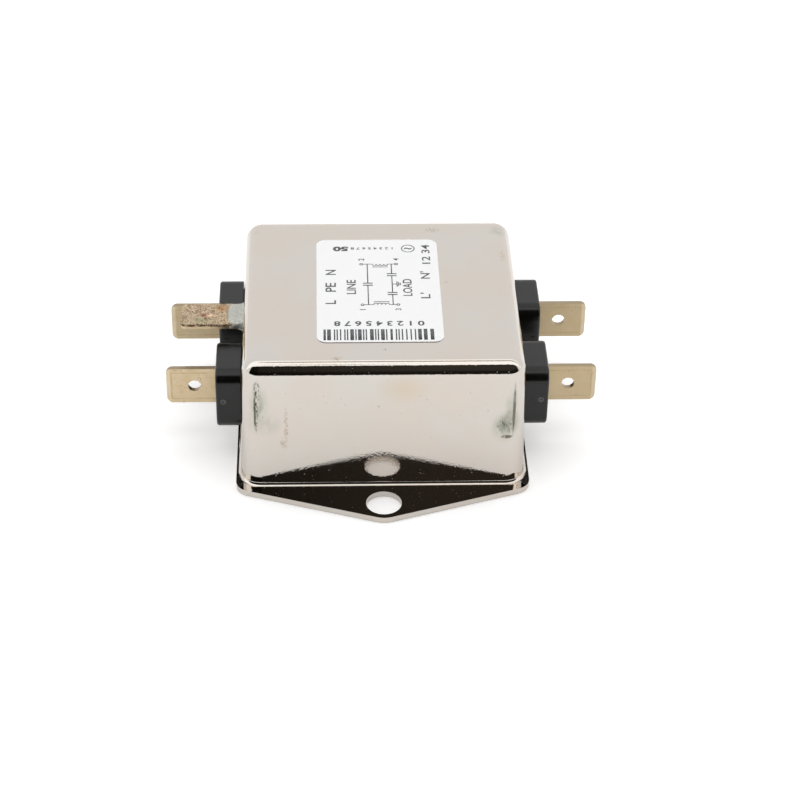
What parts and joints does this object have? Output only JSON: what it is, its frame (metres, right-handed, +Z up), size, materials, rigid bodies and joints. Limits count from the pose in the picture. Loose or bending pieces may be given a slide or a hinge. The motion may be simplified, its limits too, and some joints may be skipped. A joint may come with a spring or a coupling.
{
  "type": "emi line filter",
  "caption": "Mains EMI filter in a drawn steel can with two bolt-down ears and flat quick-connect blades on opposite sides.",
  "frame": {"origin": "middle of the mounting face, half way between the two ear holes", "axes": "+Z up from the mounting face, +X towards the load blades, the ears along Y"},
  "size_m": [0.066, 0.0578, 0.0229],
  "materials": {
    "nickel_plated_steel": "polished",
    "label_film": "satin",
    "black_insulator": "satin",
    "tinned_brass": "satin",
    "solder": "satin",
    "rough_tinning": "matte",
    "adhesive": "satin",
    "tray_plastic": "matte",
    "board_laminate": "satin",
    "ferrite": "satin",
    "enamelled_copper": "gloss",
    "film_capacitor": "satin",
    "disc_capacitor": "satin",
    "resistor_body": "satin",
    "tinned_wire": "satin"
  },
  "bodies": {
    "root": {"case_can": "nickel_plated_steel", "base_plate": "nickel_plated_steel", "mouth_seal": "adhesive", "label": "label_film", "insulator_line_l": "black_insulator", "insulator_line_n": "black_insulator", "insulator_load_l": "black_insulator", "insulator_load_n": "black_insulator", "blade_line_l": "tinned_brass", "blade_line_n": "tinned_brass", "blade_load_l": "tinned_brass", "blade_load_n": "tinned_brass", "earth_blade": "tinned_brass", "earth_solder": "solder", "earth_tinning": "rough_tinning", "insulating_tray": "tray_plastic", "circuit_board": "board_laminate", "board_solder": "solder", "choke_base": "tray_plastic", "choke_core": "ferrite", "choke_separator": "tray_plastic", "choke_winding_l": "enamelled_copper", "choke_winding_n": "enamelled_copper", "x_capacitor_line": "film_capacitor", "x_capacitor_load": "film_capacitor", "y_capacitor_line": "disc_capacitor", "y_capacitor_load": "disc_capacitor", "bleed_resistor": "resistor_body", "link_wire_line_l": "tinned_wire", "link_wire_line_n": "tinned_wire", "link_wire_load_l": "tinned_wire", "link_wire_load_n": "tinned_wire", "earth_wire": "tinned_wire", "terminal_solder": "solder"}
  },
  "joints": []
}
